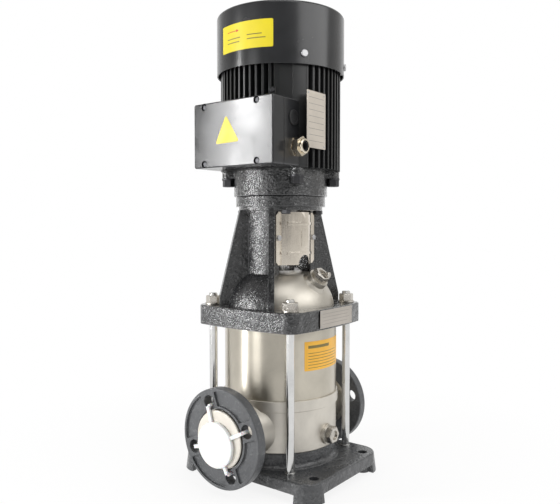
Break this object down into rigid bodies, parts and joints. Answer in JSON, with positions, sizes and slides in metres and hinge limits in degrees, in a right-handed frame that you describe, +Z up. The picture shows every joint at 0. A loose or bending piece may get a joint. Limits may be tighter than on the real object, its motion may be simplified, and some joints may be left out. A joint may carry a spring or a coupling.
{
  "type": "vertical multistage pump",
  "caption": "Upright in-line multistage pump with loose round port flanges, steel sleeve between tie rods, open motor stool over a guarded coupling, and a finned motor with side terminal box.",
  "frame": {"origin": "centre of the base plate on the floor, under the shaft axis", "axes": "+Z up along the shaft, -X towards the inlet port and the terminal box, +X towards the outlet port, -Y towards the drain plug, vent plug and cable gland"},
  "size_m": [0.2853, 0.252, 0.682],
  "materials": {
    "cast_black": "black gloss paint on rough casting",
    "flange_grey": "dark grey satin paint on rough casting",
    "motor_paint": "dark grey satin paint on die casting",
    "box_paint": "dark grey satin paint",
    "cowl_paint": "dark grey satin paint on sheet steel",
    "polished_steel": "polished stainless steel",
    "blasted_steel": "bead-blasted stainless casting",
    "ring_steel": "satin stainless steel",
    "bright_steel": "bright stainless steel",
    "guard_steel": "satin stainless sheet",
    "zinc_steel": "zinc plated",
    "inner_steel": "machined",
    "coupling_iron": "machined",
    "seal_carbide": "lapped",
    "white_plastic": "satin",
    "black_plastic": "satin",
    "gland_brass": "nickel plated",
    "black_rubber": "matt",
    "lamination": "varnished sheet steel"
  },
  "bodies": {
    "pump": {"base_plate": "cast_black", "port_chamber": "blasted_steel", "suction_cup": "inner_steel", "drain_washer": "ring_steel", "drain_plug": "bright_steel", "inlet_split_ring": "ring_steel", "outlet_split_ring": "ring_steel", "outer_sleeve": "polished_steel", "sleeve_seals": "black_rubber", "tie_rods": "bright_steel", "tie_rod_washers": "bright_steel", "tie_rod_nuts": "bright_steel", "stage_chambers": "inner_steel", "bottom_bearing": "seal_carbide", "pump_head": "blasted_steel", "vent_plug": "bright_steel", "vent_screw": "bright_steel", "seal_gland": "inner_steel", "seal_gland_screws": "inner_steel", "seal_seat": "seal_carbide", "motor_stool": "cast_black", "stool_screws": "zinc_steel", "front_guard": "guard_steel", "rear_guard": "guard_steel", "guard_screws": "zinc_steel", "drive_end_shield": "motor_paint", "frame_bolts": "zinc_steel", "motor_frame": "motor_paint", "earth_screw": "zinc_steel", "stator": "lamination", "motor_bearings": "inner_steel", "fan_end_shield": "motor_paint", "fan_cowl": "cowl_paint", "cowl_screws": "zinc_steel", "box_base": "box_paint", "box_gasket": "black_rubber", "box_lid": "box_paint", "lid_screws": "zinc_steel", "terminal_block": "black_plastic", "gland_body": "gland_brass", "gland_nut": "gland_brass", "gland_seal": "black_rubber", "knockout_plug": "black_plastic"},
    "rotor": {"pump_shaft": "inner_steel", "impellers": "inner_steel", "coupling_halves": "coupling_iron", "coupling_screws": "zinc_steel", "coupling_pin": "zinc_steel", "seal_face": "seal_carbide", "motor_shaft": "inner_steel", "rotor_core": "lamination", "cooling_fan": "black_plastic"},
    "inlet_ring": {"inlet_flange": "flange_grey"},
    "outlet_ring": {"outlet_flange": "flange_grey"},
    "cap": {"inlet_cap": "white_plastic"}
  },
  "joints": [
    {"name": "shaft_spin", "type": "hinge", "parent": "pump", "child": "rotor", "pos_m": [0, 0, 0.3], "axis": [0, 0, 1], "continuous": true},
    {"name": "inlet_turn", "type": "hinge", "parent": "pump", "child": "inlet_ring", "pos_m": [-0.13, 0, 0.08], "axis": [1, 0, 0], "continuous": true},
    {"name": "outlet_turn", "type": "hinge", "parent": "pump", "child": "outlet_ring", "pos_m": [0.13, 0, 0.08], "axis": [1, 0, 0], "continuous": true},
    {"name": "cap_pull", "type": "slide", "parent": "inlet_ring", "child": "cap", "axis": [-1, 0, 0], "range_m": [0, 0.1]}
  ]
}
